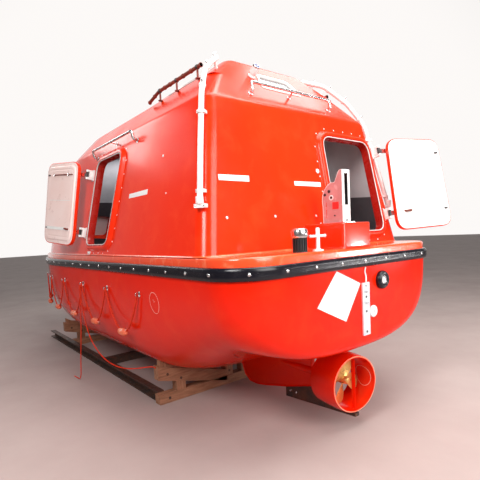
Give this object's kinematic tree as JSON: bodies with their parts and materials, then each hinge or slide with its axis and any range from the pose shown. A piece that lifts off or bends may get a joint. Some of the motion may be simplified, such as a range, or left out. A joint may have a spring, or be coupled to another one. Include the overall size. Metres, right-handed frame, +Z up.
{
  "type": "totally enclosed lifeboat on its cradle",
  "caption": "Glossy orange davit-launched enclosed lifeboat with helm cupola, hinged doors and hatches, release hooks, steering nozzle and propeller, on a timber and steel cradle.",
  "frame": {"origin": "on the floor under the cradle's middle tie, halfway between the transom and the stem", "axes": "+X forward to the bow, +Y to port, +Z up"},
  "size_m": [7.0728, 3.3738, 3.368],
  "materials": {
    "hull_gelcoat": "glossy orange-red gelcoat",
    "canopy_gelcoat": "glossy orange-red gelcoat",
    "fender_rubber": "satin black",
    "door_liner": "semi-gloss off-white liner, orange outside",
    "window_glass": "clear",
    "stainless": "polished",
    "vent_chrome": "polished",
    "spray_pipe": "semi-gloss white",
    "roof_pipe": "dark red, weathered",
    "outlet_rubber": "satin black",
    "zinc": "matt white",
    "sheet": "matt white",
    "lamp_white": "glossy white with a blue band",
    "propeller_brass": "cast, polished blades",
    "dark_steel": "dark, weathered",
    "timber": "rough sawn",
    "rope": "laid orange rope",
    "bench_liner": "pale grey",
    "engine_paint": "painted"
  },
  "bodies": {
    "boat": {"hull": "hull_gelcoat", "skeg": "hull_gelcoat", "canopy": "canopy_gelcoat", "cupola": "canopy_gelcoat", "deck": "canopy_gelcoat", "aft_pedestal": "canopy_gelcoat", "fore_pedestal": "canopy_gelcoat", "fender": "fender_rubber", "window_aft": "window_glass", "window_fore_port": "window_glass", "window_fore_starboard": "window_glass", "window_side_port": "window_glass", "window_side_starboard": "window_glass", "rail_port": "stainless", "rail_starboard": "stainless", "rail_cupola": "stainless", "aft_hook": "stainless", "fore_hook": "stainless", "bollard": "stainless", "transom_strip": "stainless", "vent": "vent_chrome", "spray_riser_port": "spray_pipe", "spray_riser_starboard": "spray_pipe", "roof_pipe_port": "roof_pipe", "roof_pipe_starboard": "roof_pipe", "exhaust_outlet": "outlet_rubber", "zinc_disc": "zinc", "blank_sheet": "sheet", "lamp": "lamp_white", "heel_bar": "dark_steel", "cradle_rail_port": "dark_steel", "cradle_rail_starboard": "dark_steel", "cradle_frame_aft": "timber", "cradle_frame_fore": "timber", "cradle_tie": "timber", "lifeline_port": "rope", "lifeline_starboard": "rope", "loose_rope_floor": "rope", "loose_rope_cradle": "rope", "bench_port": "bench_liner", "bench_starboard": "bench_liner", "engine_block": "engine_paint"},
    "port_door": {"port_door": "door_liner"},
    "starboard_door": {"starboard_door": "door_liner"},
    "stern_door": {"stern_door": "door_liner"},
    "fore_hatch": {"fore_hatch": "canopy_gelcoat"},
    "top_hatch": {"top_hatch": "canopy_gelcoat"},
    "nozzle": {"steering_nozzle": "canopy_gelcoat"},
    "propeller": {"propeller": "propeller_brass"}
  },
  "joints": [
    {"name": "port_door_hinge", "type": "hinge", "parent": "boat", "child": "port_door", "pos_m": [-0.58, 1.28406, 1.80664], "axis": [-0.0294, -0.1882, 0.9817], "range_deg": [0, 167]},
    {"name": "starboard_door_hinge", "type": "hinge", "parent": "boat", "child": "starboard_door", "pos_m": [-0.58, -1.28406, 1.80664], "axis": [-0.0294, 0.1882, 0.9817], "range_deg": [0, 167]},
    {"name": "stern_door_hinge", "type": "hinge", "parent": "boat", "child": "stern_door", "pos_m": [-3.13305, -1.045, 1.83364], "axis": [0.1724, 0, 0.985], "range_deg": [-167, 0]},
    {"name": "fore_hatch_hinge", "type": "hinge", "parent": "boat", "child": "fore_hatch", "pos_m": [2.4348, 0, 2.3336], "axis": [0, -1, 0], "range_deg": [0, 100]},
    {"name": "top_hatch_hinge", "type": "hinge", "parent": "boat", "child": "top_hatch", "pos_m": [-1.734, 0, 3.332], "axis": [0, 1, 0], "range_deg": [0, 110]},
    {"name": "nozzle_steer", "type": "hinge", "parent": "boat", "child": "nozzle", "pos_m": [-3.29, 0, 0.392], "axis": [0, 0, 1], "range_deg": [-26, 44]},
    {"name": "propeller_spin", "type": "hinge", "parent": "boat", "child": "propeller", "pos_m": [-3.29, 0, 0.392], "axis": [1, 0, 0], "continuous": true}
  ]
}
